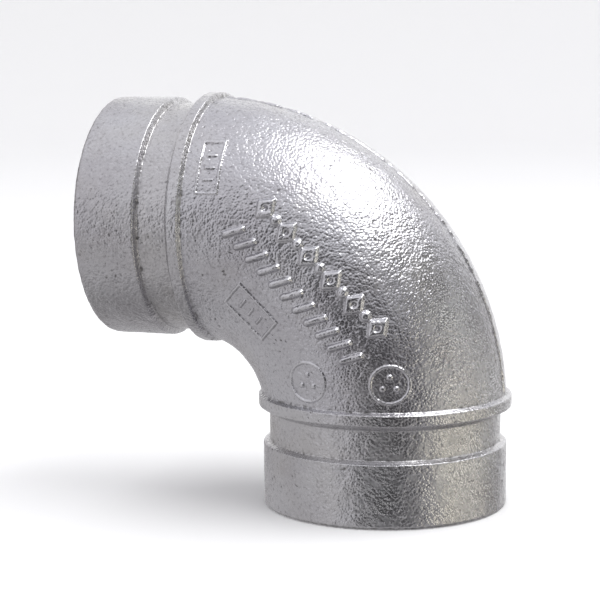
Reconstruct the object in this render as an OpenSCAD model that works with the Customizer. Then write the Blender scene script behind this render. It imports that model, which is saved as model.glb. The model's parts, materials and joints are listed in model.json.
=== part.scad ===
// Grooved-end pipe elbow, 90 degrees, short radius, in DN50 (2 inch) pipe size.
// The real elbow is one hollow casting. Each node below is a named region or raised feature of it:
// two plain ends, two grooves, two shoulders, the bend, the parting ridges and the raised marks.
// The lower end opens downward and its face is z = 0. The side end opens toward -X.
// The bend lies in the XZ plane, and the marked side faces -Y.

/* [Pipe size] */
// Outside diameter of the pipe that the elbow joins
pipe_od = 60.3; // [58:0.1:64]
// Diameter of the waterway
waterway_d = 51; // [46:0.5:53]
// Distance from each end face to the axis of the other end
centre_to_end = 70; // [68:1:84]

/* [Grooved ends] */
// Length of the smooth seat between the end face and the groove
seat_len = 15.9; // [14:0.1:17]
// Width of the groove
groove_w = 8; // [7:0.1:9.5]
// Diameter at the bottom of the groove
groove_d = 57.2; // [56:0.1:57.8]
// Rounding of the outer rim at each end face
rim_r = 1; // [0.4:0.1:1.6]

/* [Shoulders] */
// Width of the raised bead behind each groove
bead_w = 4.3; // [3.6:0.1:5]
// Height of the bead above the pipe diameter
bead_h = 1.2; // [0.8:0.1:1.6]
// Rounding of the two edges of the bead
bead_round_r = 1; // [0.6:0.1:1.4]

/* [Parting ridge] */
// Width of the ridge where the two halves of the mould met
ridge_w = 1.8; // [1.2:0.1:2.4]
// Height of the ridge above the bend
ridge_h = 0.4; // [0.3:0.1:0.6]

/* [Raised marks] */
// Height of the two rows of marks above the bend
row_h = 0.9; // [0.5:0.1:1.1]
// Height of the thin frames and rings above the bend
fine_h = 0.35; // [0.2:0.05:0.5]
// Width of the lines in the two rows of marks
row_line_w = 1.4; // [0.8:0.1:1.5]
// Width of the lines in the frames and rings
fine_line_w = 0.6; // [0.4:0.1:0.7]
// Length of each row of marks
row_len = 43.5; // [38:0.5:44]
// Height of the lozenges in the outer row
lozenge_h = 6; // [5.4:0.1:6.2]
// Number of lozenges in the outer row
lozenge_count = 6; // [5:1:7]
// Length of the slanted bars in the inner row
bar_len = 5.8; // [4.8:0.1:6.2]
// Number of slanted bars in the inner row
bar_count = 11; // [8:1:12]
// Outside radius of the ring near the inside of the bend
inner_ring_r = 5; // [4:0.1:5.2]
// Outside radius of the ring near the outside of the bend
outer_ring_r = 4.7; // [4:0.1:5]

/* [Hidden] */
$fn = 96;

zinc = [0.72, 0.72, 0.74];
bright_zinc = [0.82, 0.82, 0.84];
stained_zinc = [0.66, 0.64, 0.58];

pipe_r = pipe_od / 2;
waterway_r = waterway_d / 2;
bead_r = pipe_r + bead_h;
groove_end = seat_len + groove_w;
shoulder_end = groove_end + bead_w;
// The bend starts at the back wall of the groove, so the bead sits on its first few degrees
bend_r = centre_to_end - groove_end;
// Reach of the cutting tools past the faces they cut
over = 1;

// Places of the marks on the marked side. The rows and the slanted frame run down a slope across
// the bend: first the distance down the slope, then the distance from the bend's centre.
slope = 45;
outer_row_at = [0.8, 53.8];
inner_row_at = [0.6, 44.7];
slanted_frame_at = [-3.9, 33.4];
// The upright frame and the rings are placed from the lower end's axis and face
upright_frame_at = [-35.8, 84.2];
inner_ring_at = [-10.8, 34.4];
outer_ring_at = [9.2, 34.6];

slanted_frame_size = [13.2, 7.2];
upright_frame_size = [5.8, 12.4];
lozenge_w = 5;
pellet_r = 1.1;
bar_slant = 28;
tick_len = 2.6;
tick_pitch = 2.8;
trio_r = 1.8;

// A ring of wall around the lower end's axis
module wall_ring(r, from, to) {
  difference() {
    translate([0, 0, from])
      cylinder(r = r, h = to - from);
    translate([0, 0, from - over])
      cylinder(r = waterway_r, h = to - from + 2 * over);
  }
}

// What is cut off the outer rim of the end face to round it
module rim_cut() {
  rotate_extrude()
    translate([pipe_r - rim_r, 0])
      difference() {
        translate([0, -over])
          square(rim_r + over);
        translate([0, rim_r])
          circle(r = rim_r);
      }
}

// The smooth seat, which the gasket of a coupling grips
module seat() {
  difference() {
    wall_ring(pipe_r, 0, seat_len);
    rim_cut();
  }
}

// The wall under the groove, which the keys of a coupling drop into
module groove_band() {
  wall_ring(groove_d / 2, seat_len, groove_end);
}

// The wall behind the groove, with a raised bead whose two edges are rounded
module shoulder() {
  crown_r = bead_r - bead_round_r;
  rotate_extrude() {
    translate([waterway_r, groove_end])
      square([crown_r - waterway_r, bead_w]);
    translate([crown_r, groove_end + bead_round_r])
      square([bead_round_r, bead_w - 2 * bead_round_r]);
    for (along = [groove_end + bead_round_r, shoulder_end - bead_round_r])
      translate([crown_r, along])
        circle(r = bead_round_r);
  }
}

// Turns a feature of the lower end into the same feature of the side end
module at_side_end() {
  translate([0, 0, centre_to_end])
    mirror([1, 0, -1])
      translate([0, 0, -centre_to_end])
        children();
}

// Sweeps a section round the bend, from one shoulder to the other
module sweep_bend() {
  reach = 2 * centre_to_end;
  intersection() {
    translate([-bend_r, 0, groove_end])
      rotate([90, 0, 0])
        rotate_extrude(angle = 90)
          translate([bend_r, 0])
            children();
    translate([shoulder_end - centre_to_end, -reach, shoulder_end])
      cube([reach, 2 * reach, reach]);
  }
}

// A parting ridge, on the outside of the bend (side = 1) or on the inside of it (side = -1)
module parting_ridge(side) {
  sweep_bend()
    difference() {
      translate([side * pipe_r, 0])
        intersection() {
          square([2 * ridge_h, ridge_w], center = true);
          circle(d = ridge_w);
        }
      circle(r = pipe_r, $fn = 480);
    }
}

// Raises a flat pattern on the marked side of the bend, by the height given
module raised(height) {
  intersection() {
    rotate([90, 0, 0])
      linear_extrude(pipe_r + over)
        children();
    sweep_bend()
      difference() {
        circle(r = pipe_r + height);
        circle(r = pipe_r);
      }
  }
}

// Lays a flat pattern on the slope across the bend
module on_slope(at) {
  translate([-bend_r, groove_end])
    rotate(-slope)
      translate(at)
        children();
}

// A round-ended line, standing upright on its middle
module line(length, width) {
  square([width, length - width], center = true);
  for (end = [-1, 1])
    translate([0, end * (length - width) / 2])
      circle(d = width, $fn = 24);
}

// An open lozenge with sides of the row's line width
module lozenge() {
  half_w = lozenge_w / 2;
  half_h = lozenge_h / 2;
  side_from_middle = half_w * half_h / norm([half_w, half_h]);
  corners = [[half_w, 0], [0, half_h], [-half_w, 0], [0, -half_h]];
  difference() {
    polygon(corners);
    scale(1 - row_line_w / side_from_middle)
      polygon(corners);
  }
}

// A rectangle drawn with a fine line
module fine_frame(size) {
  difference() {
    square(size, center = true);
    square([size[0] - 2 * fine_line_w, size[1] - 2 * fine_line_w], center = true);
  }
}

// A circle drawn with a fine line
module fine_ring(r) {
  difference() {
    circle(r = r);
    circle(r = r - fine_line_w);
  }
}

// Three short fine lines side by side
module ticks() {
  for (i = [-1 : 1])
    translate([i * tick_pitch, 0])
      line(tick_len, fine_line_w);
}

// Three small pellets in a triangle
module pellet_trio() {
  for (turn = [90 : 120 : 330])
    rotate(turn)
      translate([trio_r, 0])
        circle(r = fine_line_w, $fn = 24);
}

module lower_seat() {
  color(zinc)
    seat();
}

module lower_groove_band() {
  color(stained_zinc)
    groove_band();
}

module lower_shoulder() {
  color(bright_zinc)
    shoulder();
}

module bend_body() {
  color(zinc)
    sweep_bend()
      difference() {
        circle(r = pipe_r);
        circle(r = waterway_r);
      }
}

module side_shoulder() {
  color(bright_zinc)
    at_side_end()
      shoulder();
}

module side_groove_band() {
  color(stained_zinc)
    at_side_end()
      groove_band();
}

module side_seat() {
  color(zinc)
    at_side_end()
      seat();
}

module outer_parting_ridge() {
  color(bright_zinc)
    parting_ridge(1);
}

module inner_parting_ridge() {
  color(bright_zinc)
    parting_ridge(-1);
}

// Open lozenges with a pellet between each two
module outer_mark_row() {
  pitch = (row_len - lozenge_w) / (lozenge_count - 1);
  color(bright_zinc)
    raised(row_h)
      on_slope(outer_row_at) {
        for (i = [0 : lozenge_count - 1])
          translate([i * pitch - (row_len - lozenge_w) / 2, 0])
            lozenge();
        for (i = [1 : lozenge_count - 1])
          translate([(i - 0.5) * pitch - (row_len - lozenge_w) / 2, 0])
            circle(r = pellet_r, $fn = 32);
      }
}

// Slanted bars side by side
module inner_mark_row() {
  slant_w = bar_len * sin(bar_slant);
  pitch = (row_len - slant_w) / (bar_count - 1);
  color(bright_zinc)
    raised(row_h)
      on_slope(inner_row_at)
        for (i = [0 : bar_count - 1])
          translate([i * pitch - (row_len - slant_w) / 2, 0])
            rotate(-bar_slant)
              line(bar_len, row_line_w);
}

module upright_mark_frame() {
  color(bright_zinc)
    raised(fine_h)
      translate(upright_frame_at) {
        fine_frame(upright_frame_size);
        rotate(90)
          ticks();
      }
}

module slanted_mark_frame() {
  color(bright_zinc)
    raised(fine_h)
      on_slope(slanted_frame_at) {
        fine_frame(slanted_frame_size);
        ticks();
      }
}

module inner_mark_ring() {
  color(bright_zinc)
    raised(fine_h)
      translate(inner_ring_at) {
        fine_ring(inner_ring_r);
        pellet_trio();
      }
}

module outer_mark_ring() {
  color(bright_zinc)
    raised(fine_h)
      translate(outer_ring_at) {
        fine_ring(outer_ring_r);
        pellet_trio();
      }
}

lower_seat();
lower_groove_band();
lower_shoulder();
bend_body();
side_shoulder();
side_groove_band();
side_seat();
outer_parting_ridge();
inner_parting_ridge();
outer_mark_row();
inner_mark_row();
upright_mark_frame();
slanted_mark_frame();
inner_mark_ring();
outer_mark_ring();
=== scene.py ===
import itertools
import json
import math

import bpy
import numpy as np
from mathutils import Matrix, Vector


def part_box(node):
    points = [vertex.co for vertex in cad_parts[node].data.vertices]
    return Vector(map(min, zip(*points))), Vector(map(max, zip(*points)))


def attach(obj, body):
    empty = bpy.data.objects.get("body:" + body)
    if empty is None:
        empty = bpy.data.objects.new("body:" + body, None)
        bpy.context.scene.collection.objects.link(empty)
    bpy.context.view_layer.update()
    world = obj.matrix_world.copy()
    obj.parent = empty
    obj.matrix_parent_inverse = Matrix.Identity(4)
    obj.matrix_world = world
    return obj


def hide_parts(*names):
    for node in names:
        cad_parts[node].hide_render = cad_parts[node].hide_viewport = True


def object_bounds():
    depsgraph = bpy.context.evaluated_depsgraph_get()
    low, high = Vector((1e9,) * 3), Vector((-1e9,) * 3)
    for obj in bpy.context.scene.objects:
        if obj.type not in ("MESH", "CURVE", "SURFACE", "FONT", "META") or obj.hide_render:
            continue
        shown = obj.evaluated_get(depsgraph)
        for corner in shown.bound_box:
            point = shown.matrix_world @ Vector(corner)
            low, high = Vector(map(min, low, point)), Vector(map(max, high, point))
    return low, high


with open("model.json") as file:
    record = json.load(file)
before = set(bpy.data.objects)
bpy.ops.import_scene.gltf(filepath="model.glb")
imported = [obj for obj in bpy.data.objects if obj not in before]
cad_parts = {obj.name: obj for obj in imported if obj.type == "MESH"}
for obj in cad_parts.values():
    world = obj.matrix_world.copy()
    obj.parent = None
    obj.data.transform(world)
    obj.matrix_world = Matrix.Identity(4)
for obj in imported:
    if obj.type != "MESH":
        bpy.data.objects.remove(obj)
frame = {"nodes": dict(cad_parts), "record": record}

# The looks of a grooved pipe elbow: one iron casting, dipped in zinc. Everything is in metres.
# Rows of points run along the pipe, from the lower end's face to the side end's face. Columns run
# round it, from the outside of the bend (column 0), over the marked side, to the inside of the bend.

cad_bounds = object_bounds()
MM = 0.001

# Driving dimensions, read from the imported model
pipe_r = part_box("lower_seat")[1].x
seat_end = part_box("lower_seat")[1].z
groove_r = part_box("lower_groove_band")[1].x
groove_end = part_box("lower_groove_band")[1].z
bead_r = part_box("lower_shoulder")[1].x
shoulder_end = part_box("lower_shoulder")[1].z
centre_to_end = -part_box("side_seat")[0].x
bend_r = centre_to_end - groove_end
mounts = {mount["name"]: mount for mount in frame["record"]["mounts"]}
waterway_r = mounts["lower_waterway"]["dims"]["r_mm"] * MM

# Shape of the end's skin. The groove's two walls slope, and the bead runs down onto the bend
bore_edge_r = 0.6 * MM
rim_r = 1.0 * MM
wall_w = 1.05 * MM
bead_wall_w = 1.9 * MM
bead_start = groove_end - bead_wall_w / 3
bead_drop_w = 0.85 * MM
bead_foot_r = pipe_r + 0.2 * MM

# Fineness of the skin. The waterway has one row and one column where the skin has COARSER
COLUMNS = 540
BEND_ROWS = 330
END_BORE_ROWS = 20
COARSER = 3
HALF = COLUMNS // 2
around = np.arange(COLUMNS) * 2 * math.pi / COLUMNS
bore_around = around[::COARSER]

# The share of the bend over which its waterway eases into the round ends
BORE_EASE = 0.12

# Relief of the sand-cast skin: how big and how high each pattern is
PEBBLE = 1.05 * MM
PEBBLE_HEIGHT = 0.10 * MM
PEBBLE_MEAN = 0.72
FINE = PEBBLE / 2
FINE_SHARE = 0.4
LUMP = 3.2 * MM
LUMP_HEIGHT = 0.11 * MM
SWELL = 14 * MM
SWELL_HEIGHT = 0.10 * MM
BORE_GRAIN = 1.6 * MM
BORE_GRAIN_HEIGHT = 0.12 * MM

# Pits, which come in clusters, wherever the noise is over PIT_LEVEL
PIT = 0.9 * MM
PIT_DEPTH = 0.16 * MM
PIT_LEVEL = 0.33
PIT_EASE = 0.16
PIT_CLUSTER = 11 * MM

# Cavity, which the materials read: above 0 where the skin stands out, below 0 where it is hollow or
# has painted shade
PEBBLE_CAVITY = 2
PIT_CAVITY = 4
PAINTED_SHADE_CAVITY = 3.2
CREST_CAVITY = 1.2
FOOT_SHADE_CAVITY = 2.2
BORE_CAVITY = -1.0

# Painted shade: a thin dark line round each rim, and broken dark lines in the corners at those
# places along each end
RIM_LINE = 0.4 * MM
RIM_LINE_W = 0.25 * MM
RIM_STRENGTH = 0.8
CORNERS = [(seat_end + wall_w / 2, 0.8), (bead_start, 0.35), (shoulder_end, 1.0)]
CORNER_W = 0.45 * MM
CORNER_BREAKS = 1.5 * MM

# The ridge along the parting line: its height, and over what lengths it wanders, widens and thins
RIDGE_COLUMNS = 25
RIDGE_HEIGHT = 0.4 * MM
RIDGE_WANDER = 5 * MM
RIDGE_WIDEN = 2.2 * MM
RIDGE_BREAKS = 1.7 * MM
RIDGE_LOWEST = 0.3
RIDGE_TALLEST = 1.15
RIDGE_SHARPNESS = 1.6
RIDGE_CUT = 0.06

# Fineness, softness and wear of the raised marks
MARK_PITCH = 0.1 * MM
MARK_SOFTNESS = 0.14 * MM
MARK_ROUNDING = 0.28
MARK_MARGIN = 1.0 * MM
MARK_WEAR = 3 * MM
FAINTEST = 0.04
SLIVER = 1e-6

# Raised features: how deep they root, how far they lose the cast texture, and where the painted
# shade at their foot lies, as a share of their height
ROOT_DEPTH = 0.3 * MM
TEXTURE_LOSS = 0.6
FOOT_RISE = 0.2
FOOT_W = 0.12


# ---- Noise ----

def smooth(x):
    """Eases from 0 to 1 as x goes from 0 to 1."""
    x = np.clip(x, 0, 1)
    return x * x * (3 - 2 * x)


def noise(points, spacing, seed):
    """Smooth noise, about -0.7 to 0.7, with its random slopes on a lattice of that spacing."""
    random = np.random.RandomState(seed)
    shuffle = random.permutation(256)
    slopes = random.normal(size=(256, 3))
    slopes /= np.linalg.norm(slopes, axis=1, keepdims=True)
    scaled = points / spacing
    cell = np.floor(scaled).astype(int)
    part = scaled - cell
    ease = part ** 3 * (part * (part * 6 - 15) + 10)
    total = np.zeros(points.shape[:-1])
    for corner in itertools.product((0, 1), repeat=3):
        key = 0
        for axis in range(3):
            key = shuffle[(key + cell[..., axis] + corner[axis]) & 255]
        share = np.where(corner, ease, 1 - ease).prod(axis=-1)
        total += share * ((part - corner) * slopes[key]).sum(axis=-1)
    return total


def uneven(points, spacing, seed, mean, contrast):
    """Noise of that contrast about a mean."""
    return mean + contrast * noise(points, spacing, seed)


def pebbled(points, spacing, seed):
    """Rounded pebbles of that spacing: 1 in the middle of each, and less towards its edge."""
    random = np.random.RandomState(seed)
    shuffle = random.permutation(256)
    middles = random.uniform(size=(256, 3))
    scaled = points / spacing
    cell = np.floor(scaled).astype(int)
    part = scaled - cell
    nearest = np.full(points.shape[:-1], np.inf)
    for beside in itertools.product((-1, 0, 1), repeat=3):
        key = 0
        for axis in range(3):
            key = shuffle[(key + cell[..., axis] + beside[axis]) & 255]
        gap = middles[key] + beside - part
        nearest = np.minimum(nearest, (gap ** 2).sum(axis=-1))
    return 1 - nearest


def cast_skin(points):
    """How far the sand-cast skin stands out of its plain shape, and its cavity there."""
    pebbles = pebbled(points, PEBBLE, seed=3) - PEBBLE_MEAN
    fine = noise(points, FINE, seed=4)
    lumps = noise(points, LUMP, seed=5)
    swell = noise(points, SWELL, seed=6)
    cluster = np.clip(uneven(points, PIT_CLUSTER, seed=11, mean=0.5, contrast=1.8), 0, 1)
    pits = cluster * smooth((noise(points, PIT, seed=12) - PIT_LEVEL) / PIT_EASE)
    grain = PEBBLE_HEIGHT * (pebbles + FINE_SHARE * fine)
    out = grain + LUMP_HEIGHT * lumps + SWELL_HEIGHT * swell - PIT_DEPTH * pits
    cavity = PEBBLE_CAVITY * pebbles + fine - PIT_CAVITY * pits
    return out, cavity


def painted_corner_shade(points):
    """How much shade is painted on the casting's two ends: in their corners, and round their rims.
    """
    along = np.minimum(points[..., 2], points[..., 0] + centre_to_end)
    rim = RIM_STRENGTH * np.exp(-((along - RIM_LINE) / RIM_LINE_W) ** 2)
    corner_shade = 0 * along
    for corner, strength in CORNERS:
        corner_shade += strength * np.exp(-((along - corner) / CORNER_W) ** 2)
    breaks = uneven(points, CORNER_BREAKS, seed=13, mean=0.45, contrast=1.5)
    return rim + corner_shade * np.clip(breaks, 0, 1)


# ---- Plain shapes ----

def line(start, end, steps):
    """Points from start to end, without the end."""
    share = np.arange(steps)[:, None] / steps
    return np.array(start) * (1 - share) + np.array(end) * share


def arc(centre, r, start, end, steps):
    """Points on an arc between two angles in degrees, without the end."""
    turn = np.radians(start + (end - start) * np.arange(steps) / steps)
    return np.array(centre) + r * np.stack([np.cos(turn), np.sin(turn)], axis=1)


def step(start, end, steps):
    """Points on a rounded step between two heights, without the end."""
    share = np.arange(steps)[:, None] / steps
    along = start[0] + (end[0] - start[0]) * share
    out = start[1] + (end[1] - start[1]) * (1 - np.cos(math.pi * share)) / 2
    return np.hstack([along, out])


def end_profile():
    """The skin of the lower end as (distance along the axis, radius), and each piece's first row."""
    wall_start = seat_end - wall_w / 2
    wall_end = seat_end + wall_w / 2
    crown_start = groove_end + 2 * bead_wall_w / 3
    crown_end = shoulder_end - bead_drop_w
    wall_steps = 12
    bead_steps = 18
    parts = [
        arc((bore_edge_r, waterway_r + bore_edge_r), bore_edge_r, 270, 180, 5),
        line((0, waterway_r + bore_edge_r), (0, pipe_r - rim_r), 8),
        arc((rim_r, pipe_r - rim_r), rim_r, 180, 90, 7),
        line((rim_r, pipe_r), (wall_start, pipe_r), 40),
        step((wall_start, pipe_r), (wall_end, groove_r), wall_steps),
        line((wall_end, groove_r), (bead_start, groove_r), 18),
        step((bead_start, groove_r), (crown_start, bead_r), bead_steps),
        line((crown_start, bead_r), (crown_end, bead_r), 5),
        step((crown_end, bead_r), (shoulder_end, bead_foot_r), 9),
        np.array([[shoulder_end, bead_foot_r]]),
    ]
    profile = np.concatenate(parts)
    firsts = np.cumsum([0] + [len(part) for part in parts])
    band_first = firsts[4] + wall_steps // 2
    shoulder_first = firsts[6] + bead_steps // 3
    return profile, band_first, shoulder_first


def revolve(profile, angles):
    """Turns a profile round the lower end's axis."""
    along, out = profile[:, 0, None], profile[:, 1, None]
    x = out * np.cos(angles)
    y = -out * np.sin(angles)
    return np.stack([x, y, along + 0 * x], axis=-1)


def to_side_end(points):
    """The place on the side end that matches a place on the lower end, rows in reverse."""
    x, y, z = np.moveaxis(points, -1, 0)
    return np.stack([z - centre_to_end, y, x + centre_to_end], axis=-1)[::-1]


def on_bend(turn, angle, r):
    """Points on a torus of that radius, at a turn along the bend and an angle round the pipe."""
    out = bend_r + r * np.cos(angle)
    x = out * np.cos(turn) - bend_r
    y = -r * np.sin(angle) + 0 * turn
    z = out * np.sin(turn) + groove_end
    return np.stack([x, y, z], axis=-1)


def out_of_bend(turn, angle):
    """The direction straight out of the bend's surface."""
    side = np.cos(angle)
    return np.stack([side * np.cos(turn), -np.sin(angle) + 0 * turn, side * np.sin(turn)], axis=-1)


def bend_turns(share, angle, r):
    """The turn at a share of the way from one shoulder's plane to the other's."""
    first = np.arcsin((shoulder_end - groove_end) / (bend_r + r * np.cos(angle)))
    return first + (math.pi / 2 - 2 * first) * share


def grid_normals(points, round_pipe):
    """The direction out of a grid of points. With round_pipe, its columns close up."""
    along = np.gradient(points, axis=0)
    if round_pipe:
        across = np.roll(points, -1, axis=1) - np.roll(points, 1, axis=1)
    else:
        across = np.gradient(points, axis=1)
    normals = np.cross(along, across)
    return normals / np.linalg.norm(normals, axis=-1, keepdims=True)


def plain_skin(profile):
    """The outer skin without its cast texture: lower end, bend and side end, one grid."""
    share = (np.arange(BEND_ROWS + 1) / BEND_ROWS)[:, None]
    bend = on_bend(bend_turns(share, around, pipe_r), around, pipe_r)
    lower = revolve(profile, around)
    landing = smooth((profile[:, 0] - shoulder_end) / bead_drop_w + 1)[:, None, None]
    lower += landing * (bend[0] - lower[-1])
    return np.concatenate([lower, bend[1:-1], to_side_end(lower)])


def textured_skin(profile):
    """The outer skin with its cast texture: its points, normals and cavity."""
    plain = plain_skin(profile)
    texture, cavity = cast_skin(plain)
    # Painted shade: the skin's corners and rims are darkened through its cavity
    cavity -= PAINTED_SHADE_CAVITY * painted_corner_shade(plain)
    points = plain + grid_normals(plain, True) * texture[..., None]
    return points, grid_normals(points, True), cavity


def bore_rows(from_z, to_z, steps):
    """A stretch of the lower end's waterway."""
    along = np.linspace(from_z, to_z, steps + 1)
    return revolve(np.stack([along, 0 * along + waterway_r], axis=1), bore_around)


def bend_bore(rows):
    """The waterway through the bend, which turns round at each shoulder's plane."""
    share = (np.arange(rows + 1) / rows)[:, None]
    torus = on_bend(bend_turns(share, bore_around, waterway_r), bore_around, waterway_r)
    round_end = bore_rows(shoulder_end, shoulder_end, 0)[0] - torus[0]
    to_round = 1 - smooth(share / BORE_EASE)[..., None]
    lower_part = to_round * round_end
    side_part = to_round[::-1] * (to_side_end((torus[0] + round_end)[None])[0] - torus[-1])
    return torus + lower_part + side_part


def cast_bore(points):
    """The waterway's points, moved by the core's coarser grain, and their normals."""
    grain = BORE_GRAIN_HEIGHT * noise(points, BORE_GRAIN, seed=8)
    moved = points - grid_normals(points, True) * grain[..., None]
    return moved, grid_normals(moved, True)


# ---- Meshes ----

def quads(ids):
    """The four corners of each cell in a grid of vertex numbers."""
    cells = [ids[:-1, :-1], ids[1:, :-1], ids[1:, 1:], ids[:-1, 1:]]
    return np.stack(cells, axis=-1).reshape(-1, 4)


def border(fine, coarse, flip):
    """Faces between a fine row of vertices and a coarse one."""
    faces = []
    ratio = (len(fine) - 1) // (len(coarse) - 1)
    for i in range(len(coarse) - 1):
        face = [*fine[i * ratio:(i + 1) * ratio + 1], coarse[i + 1], coarse[i]]
        faces.append(face[::-1] if flip else face)
    return faces


def make_piece(name, slot, vertices, smooth_faces, flat_faces, normals, cavity, cad_node):
    """A piece of the casting. Its smooth faces take the normals given for their vertices."""
    mesh = bpy.data.meshes.new(name)
    mesh.from_pydata(vertices.tolist(), [], smooth_faces.tolist() + flat_faces)
    flat_normals = np.zeros(len(mesh.polygons) * 3)
    mesh.polygons.foreach_get("normal", flat_normals)
    sizes = [len(face) for face in flat_faces]
    flat = np.repeat(flat_normals.reshape(-1, 3)[len(smooth_faces):], sizes, axis=0)
    mesh.shade_smooth()
    mesh.normals_split_custom_set(np.concatenate([normals[smooth_faces.ravel()], flat]).tolist())
    mesh.attributes.new("cavity", "FLOAT", "POINT").data.foreach_set("value", cavity)
    mesh.materials.append(materials[slot])
    piece = bpy.data.objects.new(name, mesh)
    bpy.context.scene.collection.objects.link(piece)
    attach(piece, "root")
    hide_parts(cad_node)


def shell(name, slot, skin, bore, ring, cad_node):
    """A closed wall between a stretch of the skin and a stretch of the waterway."""
    skin_points, skin_normals, skin_cavity = skin
    bore_points, bore_normals = bore
    fine = np.arange(skin_points[..., 0].size).reshape(skin_points.shape[:2])
    coarse = fine.size + np.arange(bore_points[..., 0].size).reshape(bore_points.shape[:2])
    if ring:
        fine = np.hstack([fine, fine[:, :1]])
        coarse = np.hstack([coarse, coarse[:, :1]])
    flat_faces = border(fine[0], coarse[0], False) + border(fine[-1], coarse[-1], True)
    if not ring:
        flat_faces += border(fine[:, 0], coarse[:, 0], True)
        flat_faces += border(fine[:, -1], coarse[:, -1], False)
    vertices = np.concatenate([skin_points.reshape(-1, 3), bore_points.reshape(-1, 3)])
    normals = np.concatenate([skin_normals.reshape(-1, 3), -bore_normals.reshape(-1, 3)])
    bore_cavity = np.full(bore_points[..., 0].size, BORE_CAVITY)
    cavity = np.concatenate([skin_cavity.ravel(), bore_cavity])
    smooth_faces = np.concatenate([quads(fine), quads(coarse)[:, ::-1]])
    make_piece(name, slot, vertices, smooth_faces, flat_faces, normals, cavity, cad_node)


def relief_piece(name, slot, top, root, normals, cavity, keep, cad_node):
    """A closed raised feature: the cells of the grid top that keep marks, down to the grid root."""
    ids = np.arange(top[..., 0].size).reshape(top.shape[:2])
    under = ids.size
    cells = quads(ids).reshape(*keep.shape, 4)
    padded = np.pad(keep, 1)
    beside = [padded[1:-1, :-2], padded[2:, 1:-1], padded[1:-1, 2:], padded[:-2, 1:-1]]
    walls = []
    for i in range(4):
        edge = cells[keep & ~beside[i]]
        start, end = edge[:, i], edge[:, (i + 1) % 4]
        walls.append(np.stack([end, start, start + under, end + under], axis=1))
    top_faces = cells[keep]
    flat_faces = np.concatenate([top_faces[:, ::-1] + under, *walls])
    used, places = np.unique(np.concatenate([top_faces, flat_faces]), return_inverse=True)
    places = places.reshape(-1, 4)
    vertices = np.concatenate([top.reshape(-1, 3), root.reshape(-1, 3)])[used]
    normals = np.tile(normals.reshape(-1, 3), (2, 1))[used]
    cavity = np.tile(cavity.ravel(), 2)[used]
    split = len(top_faces)
    make_piece(name, slot, vertices, places[:split], places[split:].tolist(), normals, cavity,
               cad_node)


def without_corner_touches(keep):
    """Fills in where two kept cells touch only at a corner, so that the piece stays one solid."""
    keep = keep.copy()
    for _ in range(3):
        a, b, c, d = keep[:-1, :-1], keep[:-1, 1:], keep[1:, :-1], keep[1:, 1:]
        fill = (a & d & ~b & ~c) | (b & c & ~a & ~d)
        for cell in (a, b, c, d):
            cell |= fill
    return keep


def cells_over(height, least):
    """The cells whose four corners are all over that height."""
    corners = (height[:-1, :-1], height[1:, :-1], height[1:, 1:], height[:-1, 1:])
    return without_corner_touches(np.minimum.reduce(corners) > least)


# ---- Materials ----

# The zinc's patterns: how big each is, and the colours they bring in
MOTTLE = 9 * MM
SPECK = 0.4 * MM
SPECK_COLOUR = (0.30, 0.29, 0.30)
SPECK_STRENGTH = 0.52
STAIN = 6 * MM
STAIN_COLOUR = (0.52, 0.47, 0.34)
RUBBED_COLOUR = (0.86, 0.86, 0.88)
RUBBED_STRENGTH = 0.35
PIT_AND_SHADE_COLOUR = (0.16, 0.155, 0.15)
PIT_AND_SHADE_STRENGTH = 0.85
ROUGH_PATCH = 2.5 * MM
GRAIN_PEBBLE = 0.62 * MM
DUST = 0.3 * MM
DUST_SHARE = 0.6

# Each slot's light and dark zinc, its roughness, its share of stain and the depth of its grain
ZINCS = {
    "zinc_bend": ((0.70, 0.70, 0.73), (0.60, 0.59, 0.62), 0.22, 0.10, 0.105 * MM),
    "zinc_seat": ((0.69, 0.69, 0.71), (0.60, 0.59, 0.61), 0.23, 0.10, 0.08 * MM),
    "zinc_groove": ((0.70, 0.695, 0.71), (0.61, 0.60, 0.61), 0.24, 0.10, 0.085 * MM),
    "zinc_shoulder": ((0.72, 0.72, 0.74), (0.62, 0.61, 0.63), 0.21, 0.10, 0.09 * MM),
    # The raised marks' zinc is a little lighter than the bend's: a painted highlight that makes them
    # stand out
    "zinc_relief": ((0.74, 0.74, 0.77), (0.63, 0.62, 0.65), 0.19, 0.08, 0.07 * MM),
}


def plug(tree, socket, value):
    """Feeds an input from another node's output, or sets it to a plain value."""
    if isinstance(value, bpy.types.NodeSocket):
        tree.links.new(value, socket)
    else:
        socket.default_value = value


def wire(tree, node, **inputs):
    """Plugs each of a node's named inputs."""
    for name, value in inputs.items():
        plug(tree, node.inputs[name.replace("_", " ")], value)
    return node


def noise_node(tree, place, size, detail, seed):
    """Noise whose blotches are about size across."""
    node = tree.nodes.new("ShaderNodeTexNoise")
    node.noise_dimensions = "4D"
    return wire(tree, node, Vector=place, Scale=0.5 / size, Detail=detail, W=seed).outputs["Fac"]


def pebble_node(tree, place, size):
    """Rounded hollows of that size: 0 in the middle of each, rising towards its edge."""
    node = tree.nodes.new("ShaderNodeTexVoronoi")
    wire(tree, node, Vector=place, Scale=1 / size)
    distance = node.outputs["Distance"]
    return combine(tree, "MULTIPLY", distance, distance)


def spread(tree, value, low, high, to_low=0.0, to_high=1.0):
    """Stretches values between low and high to a new range, and holds them there."""
    node = tree.nodes.new("ShaderNodeMapRange")
    wire(tree, node, Value=value, From_Min=low, From_Max=high, To_Min=to_low, To_Max=to_high)
    return node.outputs["Result"]


def combine(tree, operation, first, second):
    """Arithmetic on two values."""
    node = tree.nodes.new("ShaderNodeMath")
    node.operation = operation
    plug(tree, node.inputs[0], first)
    plug(tree, node.inputs[1], second)
    return node.outputs["Value"]


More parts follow.
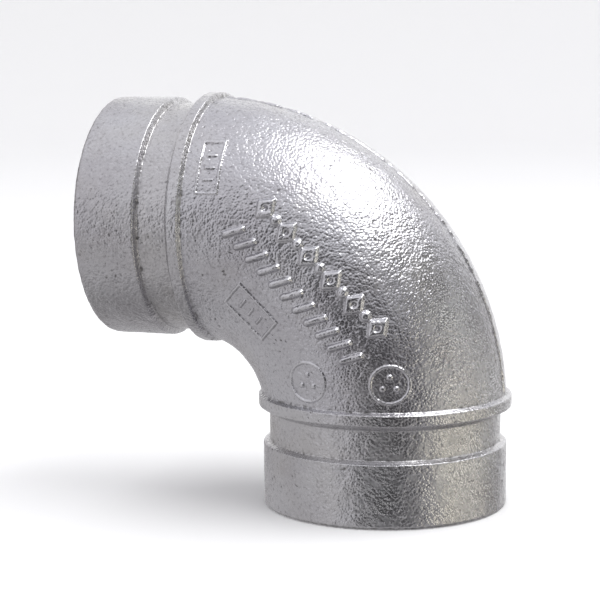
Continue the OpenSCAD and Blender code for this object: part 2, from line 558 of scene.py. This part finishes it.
def blend_colour(tree, share, first, second):
    """Goes from the first colour to the second."""
    node = tree.nodes.new("ShaderNodeMix")
    node.data_type = "RGBA"
    for name, value in (("Factor_Float", share), ("A_Color", first), ("B_Color", second)):
        socket = next(s for s in node.inputs if s.identifier == name)
        plug(tree, socket, (*value, 1) if isinstance(value, tuple) else value)
    return next(s for s in node.outputs if s.identifier == "Result_Color")


def zinc_colour(tree, place, cavity, light, dark, stain):
    """Soft mottling with dark specks, yellowish stain, brighter peaks, and dark pits and painted
    shade.
    """
    mottle = spread(tree, noise_node(tree, place, MOTTLE, 3, 1.3), 0.35, 0.65)
    speck = spread(tree, noise_node(tree, place, SPECK, 2, 2.6), 0.54, 0.70, 0, SPECK_STRENGTH)
    stained = spread(tree, noise_node(tree, place, STAIN, 4, 5.2), 0.50, 0.72, 0, stain)
    rubbed = spread(tree, cavity, 0, 1, 0, RUBBED_STRENGTH)
    # Darkens the real pits, and paints shade into corners, rims and the feet of raised features
    pit_and_shade = spread(tree, cavity, -3.2, -1.2, PIT_AND_SHADE_STRENGTH, 0)
    colour = blend_colour(tree, mottle, dark, light)
    colour = blend_colour(tree, speck, colour, SPECK_COLOUR)
    colour = blend_colour(tree, stained, colour, STAIN_COLOUR)
    colour = blend_colour(tree, rubbed, colour, RUBBED_COLOUR)
    return blend_colour(tree, pit_and_shade, colour, PIT_AND_SHADE_COLOUR)


def zinc_roughness(tree, place, cavity, roughness):
    """Smoother on the peaks than in the hollows, and uneven from patch to patch."""
    patch = spread(tree, noise_node(tree, place, ROUGH_PATCH, 3, 7.7), 0.35, 0.65, -0.05, 0.07)
    by_height = spread(tree, cavity, -1, 1, roughness + 0.06, roughness - 0.04)
    return combine(tree, "ADD", patch, by_height)


def zinc_grain(tree, place, depth):
    """The grain that is finer than the mesh."""
    pebbles = pebble_node(tree, place, GRAIN_PEBBLE)
    dust = combine(tree, "MULTIPLY", noise_node(tree, place, DUST, 2, 9.4), DUST_SHARE)
    height = combine(tree, "SUBTRACT", dust, pebbles)
    bump = tree.nodes.new("ShaderNodeBump")
    return wire(tree, bump, Height=height, Distance=depth, Strength=1.0).outputs["Normal"]


def zinc(slot, light, dark, roughness, stain, grain_depth):
    """Hot-dip zinc on sand-cast iron."""
    material = bpy.data.materials.new(slot)
    material.use_nodes = True
    tree = material.node_tree
    place = tree.nodes.new("ShaderNodeTexCoord").outputs["Object"]
    attribute = tree.nodes.new("ShaderNodeAttribute")
    attribute.attribute_name = "cavity"
    cavity = attribute.outputs["Fac"]
    wire(tree, tree.nodes["Principled BSDF"], Metallic=1.0,
         Base_Color=zinc_colour(tree, place, cavity, light, dark, stain),
         Roughness=zinc_roughness(tree, place, cavity, roughness),
         Normal=zinc_grain(tree, place, grain_depth))
    return material


materials = {slot: zinc(slot, *look) for slot, look in ZINCS.items()}


# ---- The casting ----

def end_walls(name, slot, skin, first, final, z_range):
    """The wall at both ends between two rows of the skin and two heights of the waterway."""
    last = len(skin[0]) - 1
    lower = [grid[first:final + 1] for grid in skin]
    side = [grid[last - final:last - first + 1] for grid in skin]
    bore, bore_normals = cast_bore(bore_rows(*z_range, END_BORE_ROWS))
    side_bore = to_side_end(bore)
    side_normals = grid_normals(side_bore, True)
    shell("lower_" + name + "_wall", slot, lower, (bore, bore_normals), True, "lower_" + name)
    shell("side_" + name + "_wall", slot, side, (side_bore, side_normals), True, "side_" + name)


def bend_walls(skin):
    """The bend's wall, in two halves that meet at the parting line."""
    bore = cast_bore(bend_bore(BEND_ROWS // COARSER))
    halves = {"bend_marked_half": range(0, HALF + 1), "bend_plain_half": range(HALF, COLUMNS + 1)}
    for name, columns in halves.items():
        fine = np.array(columns) % COLUMNS
        coarse = fine[::COARSER] // COARSER
        skin_part = [grid[:, fine] for grid in skin]
        bore_part = [grid[:, coarse] for grid in bore]
        shell(name, "zinc_bend", skin_part, bore_part, False, "bend_body")


def make_walls():
    """The seven walls of the casting, which share one skin."""
    profile, band_first, shoulder_first = end_profile()
    end_last = len(profile) - 1
    skin = textured_skin(profile)
    bore_start = 1.5 * bore_edge_r
    end_walls("seat", "zinc_seat", skin, 0, band_first, (bore_start, seat_end))
    end_walls("groove_band", "zinc_groove", skin, band_first, shoulder_first,
              (seat_end, groove_end))
    end_walls("shoulder", "zinc_shoulder", skin, shoulder_first, end_last,
              (groove_end, shoulder_end))
    bend_walls([grid[end_last:len(grid) - end_last] for grid in skin])


def raise_from_bend(node, turn, angle, height, keep):
    """The looks of a raised CAD node on the bend, over a grid of turns and angles."""
    plain = on_bend(turn, angle, pipe_r)
    out = out_of_bend(turn, angle)
    texture, cavity = cast_skin(plain)
    rise = height / height.max()
    # Painted shade at the foot of each raised feature, carried by a lower cavity
    foot_shade = np.exp(-((rise - FOOT_RISE) / FOOT_W) ** 2)
    cavity = cavity + CREST_CAVITY * rise - FOOT_SHADE_CAVITY * foot_shade
    texture = texture * (1 - TEXTURE_LOSS * rise)
    top = plain + out * (texture + height)[..., None]
    root = plain - out * ROOT_DEPTH
    normals = grid_normals(top, False)
    if normals[0, 0] @ out[0, 0] < 0:
        top, root, normals, cavity, keep = (
            np.flip(grid, axis=0) for grid in (top, root, -normals, cavity, keep))
    relief_piece(node + "_relief", "zinc_relief", top, root, normals, cavity, keep, node)


def parting_ridge(node, crest_angle, rows):
    """The flash along the parting line: uneven, thin in places, and rounded by the zinc."""
    low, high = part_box(node)
    width = high.y - low.y
    across = np.linspace(-width, width, RIDGE_COLUMNS)
    share = (np.arange(rows + 1) / rows)[:, None]
    angle = crest_angle + across[None, :] / pipe_r
    turn = bend_turns(share, angle, pipe_r)
    crest = on_bend(turn, crest_angle, pipe_r)
    lean = 0.5 * width * noise(crest, RIDGE_WANDER, seed=21)
    wide = 0.5 * width * uneven(crest, RIDGE_WIDEN, seed=22, mean=0.72, contrast=0.8)
    breaks = uneven(crest, RIDGE_BREAKS, seed=23, mean=0.85, contrast=1.6)
    tall = RIDGE_HEIGHT * np.clip(breaks, RIDGE_LOWEST, RIDGE_TALLEST)
    crown = np.exp(-((across - lean) / wide) ** 2 * RIDGE_SHARPNESS)
    lift = tall * np.clip(crown - RIDGE_CUT, 0, 1)
    raise_from_bend(node, turn, angle + 0 * turn, lift, cells_over(lift, 0))


def fill_triangle(covered, a, b, c):
    """Marks the points of a grid that lie in a triangle, given in steps of the grid."""
    area = (b[0] - a[0]) * (c[1] - a[1]) - (b[1] - a[1]) * (c[0] - a[0])
    if abs(area) < SLIVER:
        return
    first = np.floor(np.minimum(np.minimum(a, b), c)).astype(int)
    last = np.ceil(np.maximum(np.maximum(a, b), c)).astype(int) + 1
    x, z = np.mgrid[first[0]:last[0], first[1]:last[1]]
    by_b = ((x - a[0]) * (c[1] - a[1]) - (z - a[1]) * (c[0] - a[0])) / area
    by_c = ((z - a[1]) * (b[0] - a[0]) - (x - a[0]) * (b[1] - a[1])) / area
    covered[x, z] = np.maximum(covered[x, z], (by_b >= 0) & (by_c >= 0) & (by_b + by_c <= 1))


def footprint(mesh, corners):
    """What a raised mark covers, seen square on, as a grid of x, z and 0 or 1."""
    mesh.calc_loop_triangles()
    flat = corners[:, [0, 2]]
    triangles = flat[np.array([triangle.vertices for triangle in mesh.loop_triangles])]
    low = flat.min(axis=0) - MARK_MARGIN
    count = np.ceil((flat.max(axis=0) + MARK_MARGIN - low) / MARK_PITCH).astype(int)
    covered = np.zeros(count)
    for triangle in (triangles - low) / MARK_PITCH:
        fill_triangle(covered, *triangle)
    x, z = np.mgrid[:count[0], :count[1]] * MARK_PITCH
    return x + low[0], z + low[1], covered


def softened(grid, softness):
    """Blurs a grid of heights by a distance."""
    reach = int(3 * softness / MARK_PITCH)
    offsets = np.arange(-reach, reach + 1) * MARK_PITCH
    weights = np.exp(-0.5 * (offsets / softness) ** 2)
    weights /= weights.sum()
    for axis in (0, 1):
        grid = np.apply_along_axis(np.convolve, axis, grid, weights, mode="same")
    return grid


def mark(node):
    """A raised mark with the outline of its CAD node, softened where it runs into the bend."""
    mesh = frame["nodes"][node].data
    corners = np.array([vertex.co for vertex in mesh.vertices])
    from_centre = np.hypot(corners[:, 0] + bend_r, corners[:, 2] - groove_end) - bend_r
    full_height = np.hypot(from_centre, corners[:, 1]).max() - pipe_r
    x, z, covered = footprint(mesh, corners)
    distance = np.hypot(x + bend_r, z - groove_end)
    turn = np.arctan2(z - groove_end, x + bend_r)
    angle = np.arccos(np.clip((distance - bend_r) / pipe_r, -1, 1))
    shape = softened(covered, max(MARK_SOFTNESS, MARK_ROUNDING * full_height))
    shape /= shape.max()
    wear = uneven(on_bend(turn, angle, pipe_r), MARK_WEAR, seed=31, mean=0.9, contrast=0.5)
    raise_from_bend(node, turn, angle, full_height * shape * wear, cells_over(shape, FAINTEST))


make_walls()
parting_ridge("outer_parting_ridge", 0.0, BEND_ROWS)
parting_ridge("inner_parting_ridge", math.pi, BEND_ROWS // 3)
for mark_node in ("outer_mark_row", "inner_mark_row", "upright_mark_frame", "slanted_mark_frame",
                  "inner_mark_ring", "outer_mark_ring"):
    mark(mark_node)


# ---- Stage, light and camera ----

middle = (cad_bounds[0] + cad_bounds[1]) / 2

# The room that the zinc mirrors: its plain grey, and patches, each over those before it. A patch
# has its azimuth and elevation, how far it is even and where it ends, all in degrees, then its
# strength and its colour
ROOM_GREY = (0.50, 0.49, 0.50)
ROOM = [
    ((0, 90), 10, 80, 1.0, (0.84, 0.84, 0.88)),
    ((0, -90), 5, 48, 0.9, (0.24, 0.235, 0.24)),
    ((-25, 24), 12, 48, 0.85, (0.71, 0.70, 0.73)),
    ((-174, 9), 13, 40, 1.0, (1.15, 1.15, 1.15)),
    ((84, 26), 16, 46, 0.85, (0.30, 0.30, 0.31)),
    ((102, -2), 34, 58, 0.9, (0.19, 0.185, 0.175)),
    ((70, -8), 2, 9, 1.0, (2.3, 2.2, 1.9)),
    ((86, -24), 2, 9, 1.0, (2.1, 2.0, 1.7)),
    ((100, -5), 2, 9, 1.0, (2.2, 2.1, 1.85)),
    ((118, -22), 2, 9, 1.0, (1.9, 1.85, 1.65)),
    ((84, 13), 2, 9, 1.0, (1.8, 1.8, 1.7)),
    ((114, 13), 2, 9, 1.0, (1.6, 1.6, 1.55)),
    ((134, -4), 2, 9, 1.0, (1.6, 1.6, 1.55)),
    ((132, 30), 2, 9, 1.0, (1.3, 1.3, 1.35)),
    ((16, -4), 10, 42, 1.0, (0.06, 0.058, 0.061)),
    ((8, -20), 2, 8, 1.0, (0.9, 0.9, 0.9)),
]

# The pale floor: flat out to one radius, then curved up to the other
FLOOR_FLAT_R = 1.6
FLOOR_CURVE_R = 0.8
FLOOR_STEPS = 16
FLOOR_SEGMENTS = 96
PAPER_GREY = (0.86, 0.86, 0.86, 1)

# The camera: the direction it stands in, how far, its roll, its lens and what it aims at
CAMERA_AZIMUTH = 18.6
CAMERA_ELEVATION = 7.94
CAMERA_DISTANCE = 0.4558
CAMERA_ROLL = -0.35
CAMERA_LENS = 109.06
CAMERA_AIM = middle + Vector((-2.8, 0, -1.1)) * MM


def towards(azimuth, elevation):
    """The direction to something seen at that azimuth and elevation, in degrees."""
    turn, rise = math.radians(azimuth), math.radians(elevation)
    return Vector((math.sin(turn) * math.cos(rise), -math.cos(turn) * math.cos(rise),
                   math.sin(rise)))


def softbox(name, azimuth, elevation, distance, size, power):
    """A white rectangular light that looks at the elbow."""
    light = bpy.data.lights.new(name, "AREA")
    light.shape = "RECTANGLE"
    light.size, light.size_y = size
    light.energy = power
    lamp = bpy.data.objects.new(name, light)
    direction = towards(azimuth, elevation)
    lamp.location = middle + direction * distance
    lamp.rotation_euler = direction.to_track_quat("Z", "Y").to_euler()
    bpy.context.scene.collection.objects.link(lamp)
    return lamp


def paper():
    """Matt pale paper."""
    material = bpy.data.materials.new("paper")
    material.use_nodes = True
    tree = material.node_tree
    shader = wire(tree, tree.nodes["Principled BSDF"], Base_Color=PAPER_GREY, Roughness=0.9)
    shader.inputs["Specular IOR Level"].default_value = 0.1
    return material


def paper_floor():
    """A wide pale floor that curves up far away."""
    rings = [(FLOOR_FLAT_R, 0.0)]
    for i in range(1, FLOOR_STEPS + 1):
        rise = math.pi / 2 * i / FLOOR_STEPS
        rings.append((FLOOR_FLAT_R + FLOOR_CURVE_R * math.sin(rise),
                      FLOOR_CURVE_R * (1 - math.cos(rise))))
    vertices = [(0.0, 0.0, 0.0)]
    for out, up in rings:
        for i in range(FLOOR_SEGMENTS):
            turn = 2 * math.pi * i / FLOOR_SEGMENTS
            vertices.append((out * math.cos(turn), out * math.sin(turn), up))
    faces = [(0, 1 + i, 1 + (i + 1) % FLOOR_SEGMENTS) for i in range(FLOOR_SEGMENTS)]
    for ring in range(FLOOR_STEPS):
        first = 1 + ring * FLOOR_SEGMENTS
        for i in range(FLOOR_SEGMENTS):
            a, b = first + i, first + (i + 1) % FLOOR_SEGMENTS
            faces.append((a, a + FLOOR_SEGMENTS, b + FLOOR_SEGMENTS, b))
    mesh = bpy.data.meshes.new("paper_floor")
    mesh.from_pydata(vertices, [], faces)
    mesh.shade_smooth()
    mesh.materials.append(paper())
    floor = bpy.data.objects.new("paper_floor", mesh)
    bpy.context.scene.collection.objects.link(floor)
    floor.visible_glossy = False


def glow(tree, direction, centre, inner, outer):
    """1 within inner degrees of a direction, easing to 0 at outer degrees from it."""
    dot = tree.nodes.new("ShaderNodeVectorMath")
    dot.operation = "DOT_PRODUCT"
    plug(tree, dot.inputs[0], direction)
    plug(tree, dot.inputs[1], towards(*centre))
    node = tree.nodes.new("ShaderNodeMapRange")
    node.interpolation_type = "SMOOTHSTEP"
    wire(tree, node, Value=dot.outputs["Value"], From_Min=math.cos(math.radians(outer)),
         From_Max=math.cos(math.radians(inner)))
    return node.outputs["Result"]


def studio_air():
    """The room round the elbow: pale above and behind, dark in front, with bright spots beside."""
    world = bpy.data.worlds.new("studio_air")
    bpy.context.scene.world = world
    world.use_nodes = True
    tree = world.node_tree
    direction = tree.nodes.new("ShaderNodeTexCoord").outputs["Generated"]
    colour = ROOM_GREY
    for centre, inner, outer, strength, tone in ROOM:
        patch = combine(tree, "MULTIPLY", glow(tree, direction, centre, inner, outer), strength)
        colour = blend_colour(tree, patch, colour, tone)
    wire(tree, tree.nodes["Background"], Color=colour, Strength=1.0)


def camera():
    """The camera, at the product picture's angle and distance."""
    back = towards(CAMERA_AZIMUTH, CAMERA_ELEVATION)
    side = Vector((0, 0, 1)).cross(back).normalized()
    up = back.cross(side)
    roll = math.radians(CAMERA_ROLL)
    tilted_side = side * math.cos(roll) + up * math.sin(roll)
    tilted_up = back.cross(tilted_side)
    data = bpy.data.cameras.new("camera")
    data.lens = CAMERA_LENS
    data.clip_start, data.clip_end = 0.01, 20
    eye = bpy.data.objects.new("camera", data)
    turned = Matrix((tilted_side, tilted_up, back)).transposed().to_4x4()
    eye.matrix_world = Matrix.Translation(CAMERA_AIM + back * CAMERA_DISTANCE) @ turned
    bpy.context.scene.collection.objects.link(eye)
    bpy.context.scene.camera = eye


paper_floor()
studio_air()
softbox("overhead", azimuth=97, elevation=63, distance=0.8, size=(0.83, 0.39), power=3.3)
paper_fill = softbox("paper_fill", azimuth=0, elevation=90, distance=3, size=(4, 4), power=60)
paper_fill.visible_glossy = False
camera()
bpy.context.scene.view_settings.view_transform = "Standard"
